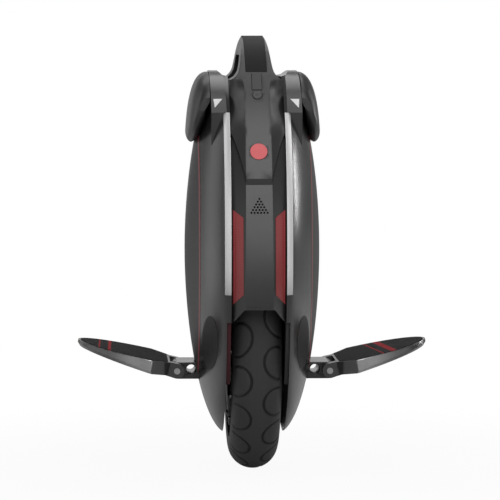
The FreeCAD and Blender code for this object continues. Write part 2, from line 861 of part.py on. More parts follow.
def make_fenders():
    axle = (-beyond, 0, s.tyre_radius)
    fender = fender_fill(0, 0).cut(fender_fill(-s.fender_wall, s.fender_wall)).cut(lip_tool(0))
    bead = fender_fill(s.bead_rise, 0).cut(fender_fill(-s.fender_wall / 2, s.fender_wall / 2))
    fender = fender.fuse(bead.common(lip_tool(s.bead_depth)).cut(lip_tool(0)))
    fender = fender.common(block((-core_half, -beyond, 0), (core_half, beyond, beyond)))
    fender = fender.cut(rod(s.tyre_radius - s.fender_clear, 2 * beyond, axle, (1, 0, 0)))
    over = s.tyre_radius + s.arch_gap + s.arch_wall + 1
    low = s.tyre_radius + s.arch_lift - 2
    above = block((-beyond, -beyond, low), (beyond, beyond, beyond))
    fender = fender.cut(rod(over, 2 * beyond, axle, (1, 0, 0)).common(above))
    lean = s.inlay_rise
    lamp = stadium(s.lamp_half - lean, lamp_low + lean, lamp_high - lean)
    shaped("front_mudguard", to_front(fender).cut(lamp))
    room = fender_fill(s.lens_depth, 0).cut(fender_fill(-s.lens_depth, 0)).common(lens_window(s.trim_gap))
    lens = fender_fill(s.inlay_rise, 0).cut(fender_fill(-s.lens_depth, 0)).common(lens_window(0))
    both_sides("tail_lens", lens)
    rear = fender.cut(room).cut(mirrored(room))
    holes = []
    for row in range(int(s.hole_rows)):
        for column in range(row + 1):
            across = (column - row / 2) * s.hole_pitch
            z = cover_low - s.grille_drop - row * s.hole_row
            holes.append(rod(s.hole_radius, beyond, (across, -beyond - s.tyre_radius, z), (0, 1, 0)))
    shaped("rear_mudguard", rear.cut(holes))
    make_speaker()


def make_speaker():
    z = cover_low - s.grille_drop - s.hole_rows * s.hole_row / 2
    spot, up, out = ridge_frame(z)
    spot.y = -ridge_at(z, s.cover_wall + s.cover_step + s.fender_wall)
    drum = rod(s.speaker_radius, s.speaker_depth, (0, 0, -s.speaker_depth - 2 * s.tube_gap), (0, 0, 1))
    shaped("speaker", seat_on(drum, spot, up, out))


# Inner frame, power and control

def make_frame():
    wire = outline_wire(s.frame_half, 1, 1, s.frame_inset)
    plate = Part.Face(wire).extrude(Vec(s.frame_wall, 0, 0))
    low = s.tyre_radius - s.frame_drop
    plate = plate.common(block((0, -beyond, low), (beyond, beyond, shell_middle + s.frame_rise)))
    centre = (0, 0, s.tyre_radius)
    outer = s.tyre_radius + s.arch_gap + s.arch_wall
    arch = rod(outer, s.frame_half, centre, (1, 0, 0))
    arch = arch.cut(rod(outer - s.arch_wall, s.frame_half, centre, (1, 0, 0)))
    arch = arch.common(block((s.run_gap, -beyond, s.tyre_radius + s.arch_lift), (beyond, beyond, beyond)))
    frame = plate.fuse(arch)
    both_sides("inner_frame", frame.cut(rod(s.axle_collar + 2, beyond, centre, (1, 0, 0))))


def make_power():
    for side in ("right", "left"):
        pack = doc.addObject("Part::Box", f"battery_{side}_block")
        start = "frame_half + frame_wall" if side == "right" else "-frame_half - frame_wall - battery_width"
        tie(pack, {"Length": "battery_width", "Width": "battery_length", "Height": "battery_height",
                   "Placement.Base.x": start, "Placement.Base.y": "-battery_length / 2",
                   "Placement.Base.z": "tyre_radius + battery_lift"})
        doc.recompute()
        soft = doc.addObject("Part::Fillet", f"battery_{side}")
        soft.Base = pack
        across = [index for index, edge in enumerate(pack.Shape.Edges, start=1) if edge.BoundBox.XLength > 1]
        soft.Edges = [(index, s.battery_round, s.battery_round) for index in across]
        node(soft, f"battery_{side}")
    deck = "tyre_radius + ridge_lift + ridge_rise - deck_depth"
    board = doc.addObject("Part::Box", "control_board")
    tie(board, {"Length": "board_width", "Width": "board_length", "Height": "board_wall",
                "Placement.Base.x": "-board_width / 2", "Placement.Base.y": "-board_length / 2",
                "Placement.Base.z": f"{deck} - sink_base - fin_height - board_wall"})
    node(board, "control_board")
    sink = doc.addObject("PartDesign::Body", "heat_sink")
    left, right = "-sink_width / 2", "sink_width / 2"
    back, front = "-sink_length / 2", "sink_length / 2"
    plate = sketch_on(sink, "XY_Plane", "heat_sink_base")
    draw(plate, [(left, back), (right, back), (right, front), (left, front)])
    padded(sink, plate, "heat_sink_plate", "sink_base")
    fin = sketch_on(sink, "XY_Plane", "heat_sink_fin")
    draw(fin, [(left, back), (f"{left} + fin_wall", back), (f"{left} + fin_wall", front), (left, front)])
    ridge = padded(sink, fin, "heat_sink_ridge", "sink_base + fin_height")
    row = sink.newObject("PartDesign::LinearPattern", "heat_sink_row")
    row.Originals = [ridge]
    row.Direction = (fin, ["H_Axis"])
    tie(row, {"Length": "sink_width - fin_wall", "Occurrences": "fin_count"})
    sink.Tip = row
    tie(sink, {"Placement.Base.z": deck})
    node(sink, "heat_sink")


# Wheel with hub motor

def make_wheel():
    top = "seat_radius + flange_rise"
    edge = "rim_half"
    inside = "rim_half - flange_wall"
    turned("hub_rim", [(f"-{edge}", "rotor_inner"), (edge, "rotor_inner"), (edge, top), (inside, top),
                       (inside, "seat_radius"), (f"-({inside})", "seat_radius"), (f"-({inside})", top),
                       (f"-{edge}", top)])
    magnet = "rotor_inner - magnet_wall"
    half = "stator_half + 2"
    turned("magnet_ring", [(f"-({half})", magnet), (half, magnet), (half, "rotor_inner"),
                           (f"-({half})", "rotor_inner")])
    face = "rim_half"
    outer = f"{face} + cover_disc"
    dish = f"{face} + cover_disc - dish_wall"
    back = f"{face} - dish_wall"
    boss = "bearing_start + bearing_width"
    step = "rotor_inner - dish_step"
    brim = "seat_radius - 3"
    disc = [("bearing_start", "bearing_radius"), (boss, "bearing_radius"), (boss, "boss_radius"),
            (dish, "boss_radius + 6"), (dish, f"{step} - 4"), (outer, step), (outer, brim), (face, brim),
            (face, step), (back, f"{step} - 4"), (back, "boss_radius + 5"), ("bearing_start", "boss_radius")]
    turned("motor_cover_right", disc)
    turned("motor_cover_left", flipped(disc))
    bore = "axle_radius + run_gap"
    start = "bearing_start"
    ring = [(start, bore), (boss, bore), (boss, "bearing_radius"), (start, "bearing_radius")]
    pair("wheel_bearings", turned("bearing_right", ring, False), turned("bearing_left", flipped(ring), False))


def make_screws():
    heads = []
    radius = s.seat_radius - 10
    for step in range(int(s.screw_count)):
        angle = 2 * math.pi * (step + 0.5) / s.screw_count
        y = radius * math.cos(angle)
        z = s.tyre_radius + radius * math.sin(angle)
        for side in (-1, 1):
            start = side * (s.rim_half + s.cover_disc)
            head = rod(s.screw_radius, s.screw_height, (start, y, z), (side, 0, 0))
            hole = start + side * s.screw_height / 2
            heads.append(head.cut(rod(s.screw_socket, s.screw_height, (hole, y, z), (side, 0, 0))))
    shaped("cover_screws", Part.makeCompound(heads))


def about_axle(wire):
    return Part.Face(wire).revolve(Vec(0, 0, 0), Vec(1, 0, 0), 360)


def make_tyre():
    """Inflated tyre, hollow, with its beads in the rim."""
    section = s.tyre_width / 2
    centre = s.tyre_radius - section
    seat_in = s.rim_half - s.flange_wall - 0.3
    lift = s.seat_radius + s.flange_rise + 1.2
    flare = math.sqrt(section ** 2 - (centre - lift - 1) ** 2)
    inner = section - s.tyre_wall
    bead = seat_in - s.bead_width
    foot = s.seat_radius + 0.1
    bead_top = centre - math.sqrt(inner ** 2 - bead ** 2)
    right = [Vec(bead, 0, bead_top), Vec(bead, 0, foot), Vec(seat_in, 0, foot), Vec(seat_in, 0, lift),
             Vec(flare, 0, lift + 1)]
    left = [Vec(-spot.x, 0, spot.z) for spot in reversed(right)]
    edges = [Part.makeLine(one, two) for one, two in zip(right, right[1:])]
    edges.append(Part.Arc(right[-1], Vec(0, 0, s.tyre_radius), left[0]).toShape())
    edges += [Part.makeLine(one, two) for one, two in zip(left, left[1:])]
    edges.append(Part.Arc(left[-1], Vec(0, 0, centre + inner), right[0]).toShape())
    tyre = about_axle(Part.Wire(edges)).cut(tread_tools(section, centre))
    tyre.translate(Vec(0, 0, s.tyre_radius))
    shaped("tyre", tyre)


def tread_tools(section, centre):
    """Curved grooves on both shoulders of the tread, half a pitch apart."""
    floor = section - s.tread_depth
    arc = Part.Arc(Vec(-floor, 0, centre), Vec(0, 0, centre + floor), Vec(floor, 0, centre)).toShape()
    low = s.seat_radius
    corners = [Vec(floor, 0, centre), Vec(floor, 0, low), Vec(-floor, 0, low), Vec(-floor, 0, centre)]
    core = about_axle(Part.Wire([arc] + [Part.makeLine(one, two) for one, two in zip(corners, corners[1:])]))
    start = (s.tread_reach, 0, centre)
    length = 2 * section
    groove = rod(s.tread_ring, length, start, (0, 0, 1))
    groove = groove.cut(rod(s.tread_ring - s.tread_width, length, start, (0, 0, 1))).cut(core)
    groove = groove.common(block((0, -beyond, 0), (s.tread_edge, beyond, beyond)))
    tools = []
    pitch = 360 / s.tread_count
    for step in range(int(s.tread_count)):
        for one, offset in ((groove, 0), (mirrored(groove), 0.5)):
            tool = one.copy()
            tool.rotate(Vec(0, 0, 0), Vec(1, 0, 0), (step + offset) * pitch + s.tread_phase)
            tools.append(tool)
    return tools


def make_motor():
    mid = "bearing_start - 0.5"
    end = "axle_half"
    collar = "axle_collar"
    shaft = "axle_radius"
    turned("axle", [(f"-{end}", "0"), (end, "0"), (end, shaft), (mid, shaft), (mid, collar),
                    (f"-({mid})", collar), (f"-({mid})", shaft), (f"-{end}", shaft)])
    web = "web_half"
    wide = "spider_half"
    seat = "stator_inner - spider_wall"
    turned("stator_hub", [(f"-{web}", collar), (web, collar), (web, seat), (wide, seat),
                          (wide, "stator_inner"), (f"-{wide}", "stator_inner"), (f"-{wide}", seat),
                          (f"-{web}", seat)])
    core = doc.addObject("PartDesign::Body", "stator_core")
    rim = "rotor_inner - magnet_wall - air_gap"
    half = "stator_half"
    sketch = sketch_on(core, "XZ_Plane", "stator_core_section")
    draw(sketch, [(f"-{half}", "stator_inner"), (half, "stator_inner"), (half, rim), (f"-{half}", rim)])
    ring = core.newObject("PartDesign::Revolution", "stator_core_turn")
    ring.Profile = sketch
    ring.ReferenceAxis = (sketch, ["H_Axis"])
    ring.Angle = 360
    cut = sketch_on(core, "YZ_Plane", "stator_core_slot")
    floor = f"{rim} - slot_depth"
    draw(cut, [("-slot_width / 2", floor), ("slot_width / 2", floor), ("slot_width / 2", f"{rim} + 4"),
               ("-slot_width / 2", f"{rim} + 4")])
    slot = core.newObject("PartDesign::Pocket", "stator_core_cut")
    slot.Profile = cut
    slot.Midplane = True
    slot.Type = 1
    row = core.newObject("PartDesign::PolarPattern", "stator_core_ring")
    row.Originals = [slot]
    row.Axis = (cut, ["N_Axis"])
    row.Angle = 360
    tie(row, {"Occurrences": "slot_count"})
    core.Tip = row
    tie(core, {"Placement.Base.z": "tyre_radius"})
    node(core, "stator_core")
    outer = f"{half} + winding_wall"
    wind = [(half, floor), (outer, f"{floor} + 2"), (outer, f"{rim} - 6"), (half, f"{rim} - 4")]
    right = turned("winding_right", wind, False)
    left = turned("winding_left", flipped(wind), False)
    pair("stator_windings", right, left)


def make_nuts():
    nuts = []
    start = "frame_half + frame_wall + hanger_wall"
    across = FreeCAD.Rotation(Vec(0, 1, 0), 90)
    for side, base in (("right", start), ("left", f"-({start}) - nut_height")):
        nut = doc.addObject("Part::Prism", f"axle_nut_{side}_blank")
        nut.Polygon = 6
        nut.Placement = FreeCAD.Placement(Vec(0, 0, 0), across)
        tie(nut, {"Circumradius": "nut_flats / 2 / cos(30 deg)", "Height": "nut_height",
                  "Placement.Base.x": base, "Placement.Base.z": "tyre_radius"})
        hole = doc.addObject("Part::Cylinder", f"axle_nut_{side}_bore")
        hole.Placement = FreeCAD.Placement(Vec(0, 0, 0), across)
        tie(hole, {"Radius": "axle_radius", "Height": "3 * nut_height",
                   "Placement.Base.x": f"{base} - nut_height", "Placement.Base.z": "tyre_radius"})
        ring = doc.addObject("Part::Cut", f"axle_nut_{side}")
        ring.Base = nut
        ring.Tool = hole
        nuts.append(ring)
    pair("axle_nuts", *nuts)


# Folding pedals

def make_hanger():
    """Bracket from the axle to the pedal hinge, through a door in the shell."""
    inner = s.frame_half + s.frame_wall
    low = pin_height - s.hanger_low
    high = pin_height + s.hanger_top
    half = s.hanger_half
    knee = low + s.hanger_foot
    top = s.tyre_radius + s.hanger_rise
    plate = prism([(-half, low), (half, low), (half, knee), (s.hanger_neck, top), (-s.hanger_neck, top),
                   (-half, knee)], "x", inner, s.hanger_wall)
    arm = block((inner, -half, low), (s.pin_half, half, high))
    nose = rod(s.hanger_nose, 2 * half, (s.pin_half, -half, pin_height), (0, 1, 0))
    body = plate.fuse(arm).fuse(nose).removeSplitter()
    body = body.cut(rod(s.axle_radius, beyond, (0, 0, s.tyre_radius), (1, 0, 0)))
    body = body.cut(rod(s.pin_radius + s.run_gap, 2 * beyond, (s.pin_half, -beyond, pin_height), (0, 1, 0)))
    body = body.cut(rod(s.hanger_hole, 2 * beyond, (s.hanger_hole_half, -beyond, pin_height + 1), (0, 1, 0)))
    both_sides("pedal_hanger", body)


def pedal_plan(inset, height):
    """Half-oval outline of the pedal seen from above, hinge line along Y."""
    half = s.pedal_half - inset
    neck = s.pedal_neck - inset / 2
    start = s.pedal_start + inset
    straight = s.pedal_straight
    reach = s.pedal_reach - inset - straight
    steps = 24
    spots = []
    for step in range(steps + 1):
        angle = math.pi * (step / steps - 0.5)
        spots.append(Vec(straight + reach * math.cos(angle), half * math.sin(angle), height))
    corners = [spots[-1], Vec(start, neck, height), Vec(start, -neck, height), spots[0]]
    lines = [Part.makeLine(one, two) for one, two in zip(corners, corners[1:])]
    return Part.Face(Part.Wire([smooth(spots)] + lines))


def make_pedals():
    top = s.pedal_top
    low = top - s.pedal_wall
    far = s.pedal_reach + s.pedal_bevel
    plate = pedal_plan(0, low).extrude(Vec(0, 0, s.pedal_wall))
    under = [(s.pedal_straight, low), (far, low), (far, top - s.pedal_tip_wall)]
    plate = plate.cut(prism(under, "y", -beyond, 2 * beyond))
    rim = [edge for edge in plate.Edges
           if edge.BoundBox.ZMax < top - 1 and edge.BoundBox.XMax > far - 2 * s.pedal_bevel]
    plate = plate.makeChamfer(s.pedal_bevel, rim)
    for side in (-1, 1):
        first = lug_start if side > 0 else -lug_start - s.lug_wall
        lug = rod(s.lug_radius, s.lug_wall, (0, first, 0), (0, 1, 0))
        root = s.pedal_start + s.lug_radius
        arm = [(0, s.lug_radius), (0, -s.lug_radius), (root, low), (root, top)]
        plate = plate.fuse(lug).fuse(prism(arm, "y", first, s.lug_wall))
    plate = plate.removeSplitter()
    floor = top - s.pad_sunk
    plate = plate.cut(pedal_plan(s.pad_inset, floor).extrude(Vec(0, 0, s.pedal_wall)))
    pad = pedal_plan(s.pad_inset + s.trim_gap, floor).extrude(Vec(0, 0, s.pad_wall))
    plate = plate.cut(rod(s.pin_radius, 2 * beyond, (0, -beyond, 0), (0, 1, 0)))
    reach = lug_start + s.lug_wall + s.lug_gap
    pin = rod(s.pin_radius, 2 * reach, (0, -reach, 0), (0, 1, 0))
    turn = FreeCAD.Rotation(Vec(0, 1, 0), -s.pedal_tilt)
    place = FreeCAD.Placement(Vec(s.pin_half, 0, pin_height), turn)
    for name, shape in (("pedal_plate", plate), ("pedal_pad", pad), ("pedal_pin", pin)):
        shape.Placement = place.multiply(shape.Placement)
        both_sides(name, shape)


make_wheel()
make_screws()
make_tyre()
make_motor()
make_nuts()
make_frame()
make_shells()
make_shoulder()
make_cover()
make_keys()
make_pole()
make_charge_port()
make_fenders()
make_power()
make_hanger()
make_pedals()
doc.recompute()

os.makedirs("parts", exist_ok=True)
for thing in doc.Objects:
    if "Invalid" in thing.State or "Error" in thing.State:
        raise RuntimeError(f"{thing.Label} did not build: {thing.State}")
for thing in finished:
    if thing.Shape.isNull() or not thing.Shape.isValid() or not thing.Shape.Solids:
        raise RuntimeError(f"{thing.Label} has no sound solid")
    thing.Shape.exportStep(f"parts/{thing.Label}.step")
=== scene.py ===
# %% [markdown]
# # Dressing an electric unicycle
# The machine stands on one motor wheel between two curved shells. Its solids come from the CAD model, already
# in place and in metres; here they are loaded free of the bodies they hang on. A first idea would be to model
# the whole machine again in Blender, but then two models have to agree for ever. So the solids stay as they
# are, and this lesson gives them what a solid lacks: the finish of each surface, the small radius on each
# edge, the pressed tread of the tyre, painted marks, and a studio.

# %% Load the solids
import bpy
import json
import math
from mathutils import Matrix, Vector


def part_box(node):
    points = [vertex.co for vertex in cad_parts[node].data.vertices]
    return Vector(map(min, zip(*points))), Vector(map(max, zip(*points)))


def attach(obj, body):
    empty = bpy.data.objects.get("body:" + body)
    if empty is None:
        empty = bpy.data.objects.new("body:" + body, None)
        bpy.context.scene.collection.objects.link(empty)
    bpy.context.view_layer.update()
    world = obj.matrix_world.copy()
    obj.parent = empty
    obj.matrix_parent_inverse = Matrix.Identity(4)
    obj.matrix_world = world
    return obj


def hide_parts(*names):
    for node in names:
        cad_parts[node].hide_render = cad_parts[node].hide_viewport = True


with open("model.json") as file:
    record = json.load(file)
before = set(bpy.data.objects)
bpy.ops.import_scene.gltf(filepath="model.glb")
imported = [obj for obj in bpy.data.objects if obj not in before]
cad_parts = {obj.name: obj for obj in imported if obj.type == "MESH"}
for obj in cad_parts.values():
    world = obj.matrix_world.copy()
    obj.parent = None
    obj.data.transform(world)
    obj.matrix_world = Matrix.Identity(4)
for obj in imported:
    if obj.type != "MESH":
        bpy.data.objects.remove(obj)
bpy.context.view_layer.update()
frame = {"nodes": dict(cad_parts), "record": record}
nodes = frame["nodes"]

# %% [markdown]
# ## Writing finishes as sums
# A finish is a graph of nodes. It could be wired by hand, one socket at a time, but then the idea behind it is
# lost among the wires. One small class wraps a socket instead, and Python's own operators add the Math nodes,
# so that a mask reads as a sum. Every other node comes from one method, `node`, which sets the choices of a
# node first and then its sockets, because some sockets only appear after a choice is made.

# %% A socket that can be added, scaled and compared
class Value:
    """One output of a finish's graph."""

    def __init__(self, finish, socket):
        self.finish = finish
        self.socket = socket

    def math(self, operation, *others):
        terms = dict(enumerate((self,) + others))
        return self.finish.node("ShaderNodeMath", {"operation": operation}, terms)

    def __add__(self, other):
        return self.math("ADD", other)

    __radd__ = __add__

    def __mul__(self, other):
        return self.math("MULTIPLY", other)

    __rmul__ = __mul__

    def __sub__(self, other):
        return self.math("SUBTRACT", other)

    def __rsub__(self, other):
        return (self * -1) + other

    def __abs__(self):
        return self.math("ABSOLUTE")

    def above(self, limit, soft):
        """0 below the limit and 1 above it, with an edge as wide as twice soft."""
        ends = {"Value": self, "From Min": limit - soft, "From Max": limit + soft}
        return self.finish.node("ShaderNodeMapRange", {"interpolation_type": "SMOOTHSTEP"}, ends)

    def within(self, low, high, soft):
        """1 between the limits and 0 outside them."""
        return self.above(low, soft) * (1 - self.above(high, soft))


print("operators: + - * with their reflected forms, abs, above, within")

# %% A finish built round one shader
class Finish:
    """The graph of a material, or of the world when a tree is given."""

    def __init__(self, name, tree=None):
        if tree is None:
            self.material = bpy.data.materials.new(name)
            self.material.use_nodes = True
            tree = self.material.node_tree
        self.tree = tree
        self.shader = tree.nodes.get("Principled BSDF")

    def node(self, kind, settings=None, inputs=None, out=0):
        made = self.tree.nodes.new(kind)
        for name, value in (settings or {}).items():
            setattr(made, name, value)
        for name, value in (inputs or {}).items():
            self.feed(made.inputs[name], value)
        return Value(self, made.outputs[out])

    def feed(self, socket, value):
        if isinstance(value, Value):
            self.tree.links.new(value.socket, socket)
        else:
            socket.default_value = value

    def set(self, **values):
        """Feed the shader's sockets by name, with _ for a space."""
        for name, value in values.items():
            self.feed(self.shader.inputs[name.replace("_", " ")], value)
        return self

    def place(self, axis=None):
        """Where a point lies on the part, in metres; it stays the same when its body moves."""
        spot = self.node("ShaderNodeTexCoord", out="Object")
        if axis is None:
            return spot
        return self.node("ShaderNodeSeparateXYZ", None, {"Vector": spot}, axis)

    def stretched(self, x, y, z):
        """The place, scaled per axis: a large factor makes a pattern fine along that axis."""
        return self.node("ShaderNodeVectorMath", {"operation": "MULTIPLY"}, {0: self.place(), 1: (x, y, z)})

    def noise(self, scale, detail=3, rough=0.5, at=None):
        inputs = {"Vector": at or self.place(), "Scale": scale, "Detail": detail, "Roughness": rough}
        return self.node("ShaderNodeTexNoise", None, inputs)

    def wave(self, direction, scale, at=None, **more):
        inputs = {"Vector": at or self.place(), "Scale": scale, **more}
        return self.node("ShaderNodeTexWave", {"bands_direction": direction}, inputs)

    def mix(self, share, one, two):
        inputs = {"Factor": share, "A": one, "B": two}
        return self.node("ShaderNodeMix", {"data_type": "RGBA"}, inputs, "Result")

    def over(self, mask, colour):
        """Lay a colour over what the base has so far, where the mask is 1."""
        below = Value(self, self.shader.inputs["Base Color"].links[0].from_socket)
        return self.set(Base_Color=self.mix(mask, below, colour))

    def bump(self, height, depth):
        """Bumps whose full height is a depth in metres."""
        return self.node("ShaderNodeBump", None, {"Strength": 1.0, "Distance": depth, "Height": height})


print("a finish has node, set, place, noise, wave, mix, over and bump")

# %% [markdown]
# ## Colours as a screen shows them
# Colours read off a photograph are screen values from 0 to 255, and shaders add light in linear values. A
# colour could be typed in as three linear decimals, but nobody can check those by eye. Small helpers do the
# conversion, so the lesson keeps the numbers that were read.

# %% Screen colours
def linear(level):
    share = level / 255
    return share / 12.92 if share <= 0.04045 else ((share + 0.055) / 1.055) ** 2.4


def rgb(red, green, blue):
    return (linear(red), linear(green), linear(blue), 1)


def grey(level):
    return rgb(level, level, level)


def dimmed(colour, share):
    return tuple(share * part for part in colour[:3]) + (1,)


print("screen grey 96 is linear", round(linear(96), 3))

# %% [markdown]
# ## Moulded plastic
# Shells, covers and mudguards are injection-moulded plastic with a fine grain eroded into the mould, which
# breaks the gloss without hiding it. The grain could be real geometry, but it is a few hundredths of a
# millimetre deep at most, so it is a bump. The pigment is never quite even and hands leave a faint film, so
# colour and roughness drift a little across each piece, and short hairline scratches show in the gloss alone.
# The left half of the inner frame shows dull red in the gap beside the wheel, and it is given that red.

# %% Plastic
def plastic(name, colour, rough, grain=0.00004, level=0.5):
    """The grain is how deep the texture of the mould is, in metres."""
    finish = Finish(name)
    cloud = finish.noise(scale=14, detail=3)
    speck = finish.noise(scale=1500, detail=2)
    hairlines = finish.noise(scale=40, detail=2, at=finish.stretched(1, 1, 6)).above(0.6, 0.2)
    film, scratch, thin_pigment = 0.06, 0.02, 0.86
    finish.set(Base_Color=finish.mix(cloud.above(0.5, 0.3), dimmed(colour, thin_pigment), colour),
               Roughness=cloud * film + hairlines * scratch + (rough - film / 2),
               Normal=finish.bump(speck, grain),
               Specular_IOR_Level=level)
    return finish


finishes = {
    "shell": plastic("shell plastic", grey(48), 0.24, 0.000003),
    "panel": plastic("panel plastic", grey(46), 0.42, 0.00001, 0.3),
    "inlay": plastic("inlay plastic", grey(34), 0.5, level=0.3),
    "frame": plastic("frame plastic", rgb(74, 36, 41), 0.6, level=0.2),
    "key": plastic("key plastic", grey(46), 0.4),
}
print("plastic finishes:", ", ".join(finishes))

# %% [markdown]
# ## The spine
# The ridged centre body is the same plastic. Its lower end turns into the mudguard and faces straight back,
# so it gets less light from the lamps above, and that painted shade is laid into the colour: a darker tone
# over the first, below a height. A second material with a hard border would show a line that the real part
# does not have, so one finish changes with the height instead. The small holes of the speaker are deep for
# their width, and the shade inside them is painted too, as black dots a little wider than the holes. Black
# paint would still shine, so there the finish becomes a black metal, which gives back no light at all. The
# holes stand in a triangle, so one round dot is worked out for the nearest place in the rows, and what lies
# outside the triangle is left alone.

# %% Spine
def round_distance(one, two):
    return (one * one + two * two).math("SQRT")


def speaker_hole_shade(finish):
    """Painted shade: 1 on a black dot at each hole, for the shade inside it. The holes stand in rows of one
    to six, each row half a pitch aside from the next.
    """
    top, pitch, drop, rows = 0.378, 0.0042, 0.0036, 6
    radius, soft, rear = 0.00135, 0.0001, -0.2
    down = top - finish.place("Z")
    row = (down * (1 / drop)).math("ROUND")
    aside = finish.place("X") * (1 / pitch) + row * 0.5
    column = aside.math("ROUND")
    dots = 1 - round_distance((aside - column) * pitch, down - row * drop).above(radius, soft)
    in_rows = row.within(-0.5, rows - 0.5, 0.1)
    in_columns = column.above(-0.5, 0.1) * (row - column).above(-0.5, 0.1)
    return dots * in_rows * in_columns * (1 - finish.place("Y").above(rear, 0.01))


def spine():
    shade_height, fade = 0.27, 0.05
    finish = plastic("spine plastic", grey(48), 0.36, 0.00002)
    # painted shade: below this height the lower end of the spine is darker, for the light it lacks
    finish.over(1 - finish.place("Z").above(shade_height, fade), grey(34))
    holes = speaker_hole_shade(finish)
    # painted shade: black metal dots stand for the shade inside the speaker's holes
    return finish.over(holes, grey(4)).set(Metallic=holes)


finishes["body"] = spine()
print("spine: darker below 270 mm, black in the speaker's holes")

# %% [markdown]
# ## Gloss and soft touch
# The caps on the shoulders and the brackets of the pedals are lacquered: a dark base under a thin clear coat.
# The grip of the push handle and the cap of the charge port are soft rubber, which scatters light and shows
# almost no gloss. Both are plastics as far as the graph goes, so they start from the same recipe, and the
# lacquer adds the shader's own coat.

# %% Lacquer and rubber
def lacquer(name, colour, rough, coat):
    drift = 0.1
    finish = plastic(name, colour, rough, grain=0.00001)
    film = finish.noise(scale=9, detail=2)
    return finish.set(Coat_Weight=film * drift + (coat - drift / 2), Coat_Roughness=0.15)


finishes["shoulder"] = lacquer("shoulder lacquer", grey(38), 0.45, 0.08)
finishes["badge"] = lacquer("badge lacquer", rgb(206, 62, 68), 0.4, 0.1)
finishes["accent"] = lacquer("accent lacquer", rgb(150, 62, 68), 0.4, 0.1)
finishes["grip"] = plastic("grip rubber", grey(20), 0.55, 0.00009, level=0.15)
print("lacquer and rubber added, finishes so far:", len(finishes))

# %% [markdown]
# ## Metal
# Pins, nuts and tubes are bare metal. The wheel's covers were turned on a lathe, so fine rings run round the
# axle; the tubes were drawn, so their lines run lengthways. The rings could be modelled as grooves, but a
# lathe's feed is a tenth of a millimetre, so they are a wave of the distance from the axle. Small castings are
# tumbled with stones, which leaves an even, cloudy grey.

# %% Metal
axle_height = 0.208


def metal(name, colour, rough, marks):
    shine, dull = 0.14, 0.82
    finish = Finish(name)
    lines = marks(finish)
    return finish.set(Base_Color=finish.mix(lines, dimmed(colour, dull), colour), Metallic=1.0,
                      Roughness=lines * shine + (rough - shine / 2), Normal=finish.bump(lines, 0.00001))


def tumbled(finish):
    return finish.noise(scale=260, detail=3)


def drawn(finish):
    return finish.noise(scale=70, detail=3, rough=0.6, at=finish.stretched(12, 12, 0.4))


def turned(finish):
    radius = round_distance(finish.place("Y"), finish.place("Z") - axle_height)
    return finish.wave("X", scale=260, at=radius, Distortion=1.5, Detail=2)


finishes.update({
    "steel": metal("ground steel", grey(176), 0.3, tumbled),
    "cover": metal("turned cover", grey(72), 0.36, turned),
    "rim": metal("rim paint", grey(70), 0.42, turned),
    "iron": metal("stator sheets", grey(110), 0.45, turned),
    "copper": metal("copper wire", rgb(196, 116, 78), 0.35, turned),
    "pole": metal("drawn tube", grey(176), 0.3, drawn),
    "sink": metal("heat sink", grey(168), 0.38, drawn),
})
print("metals:", sum(made.shader.inputs["Metallic"].default_value == 1 for made in finishes.values()))

# %% [markdown]
# ## Silver trim
# The strips on the rear edges of the shells are plastic with a silver lacquer, in which tiny flakes lie flat.
# Plain chrome would mirror the room in stripes. A metal with a broad gloss and flakes that differ a little in
# brightness gives the even, pale look of paint. Towards the lower ends the silver turns greyer. The small
# triangles above the strips are plain pale lacquer.

# %% Silver
flakes_per_metre = 2600


def silver():
    greyer_below, fade = 0.262, 0.03
    finish = Finish("silver lacquer")
    flakes = finish.node("ShaderNodeTexVoronoi", None,
                         {"Vector": finish.place(), "Scale": flakes_per_metre}, "Color")
    bright = finish.node("ShaderNodeSeparateColor", None, {"Color": flakes}, "Red")
    finish.set(Base_Color=finish.mix(bright, grey(222), grey(240)), Metallic=0.4,
               Roughness=bright * 0.12 + 0.3, Normal=finish.bump(finish.noise(scale=400, detail=2), 0.00001))
    return finish.over(1 - finish.place("Z").above(greyer_below, fade), grey(176))


finishes["trim"] = silver()
print("silver flakes about", round(1000 / flakes_per_metre, 2), "mm across")

# %% [markdown]
# ## Tyre rubber
# The tread runs on the road, so its crown is scrubbed matt and slightly paler, while the flanks keep the
# darker, faintly shiny skin of the mould, and dust clings in patches. A picture of rubber would have to be
# wrapped round the tyre; the distance of a point from the middle of the tread says the same without one.
# The grooves see no road and get little light; that shade is painted, as a darker tone on what lies below
# the round of the section.

# %% Tyre
hoop, section = 0.1745, 0.0335


def tyre_rubber():
    crown_half, crown_fade = 0.017, 0.012
    groove_start, groove_soft = 0.0008, 0.0004
    finish = Finish("tyre rubber")
    across, along, up = [finish.place(axis) for axis in "XYZ"]
    crown = 1 - abs(across).above(crown_half, crown_fade)
    dust = finish.noise(scale=30, detail=4).above(0.55, 0.25)
    scrub = finish.noise(scale=700, detail=3, rough=0.6)
    skin = finish.mix(dust, grey(46), grey(54))
    finish.set(Base_Color=finish.mix(crown * (scrub * 0.5 + 0.5), skin, grey(62)),
               Roughness=crown * 0.16 + dust * 0.08 + 0.5, Normal=finish.bump(scrub, 0.00014),
               Specular_IOR_Level=0.3)
    out = round_distance(along, up - axle_height) - hoop
    groove_shade = 1 - round_distance(across, out).above(section - groove_start, groove_soft)
    # painted shade: the grooves are darker, for the light that does not reach into them
    return finish.over(groove_shade, grey(26))


finishes["tyre"] = tyre_rubber()
print("tyre: crown paler within 17 mm of the middle, grooves darker")

# %% [markdown]
# ## Tread
# The tyre carries two rows of ring-shaped grooves, about half a pitch apart, which lean with the running
# direction so that they throw water outwards. The solid has its grooves cut straight towards the axle, as a
# cutter would leave them. A mould presses them into the curved skin instead, where a ring stays round down to
# the shoulder. Painted rings would look flat at the edge of the tyre, so the tyre is turned again as a fine
# net, and the net is pressed in along each ring. The beads and the inside follow the section of the solid.

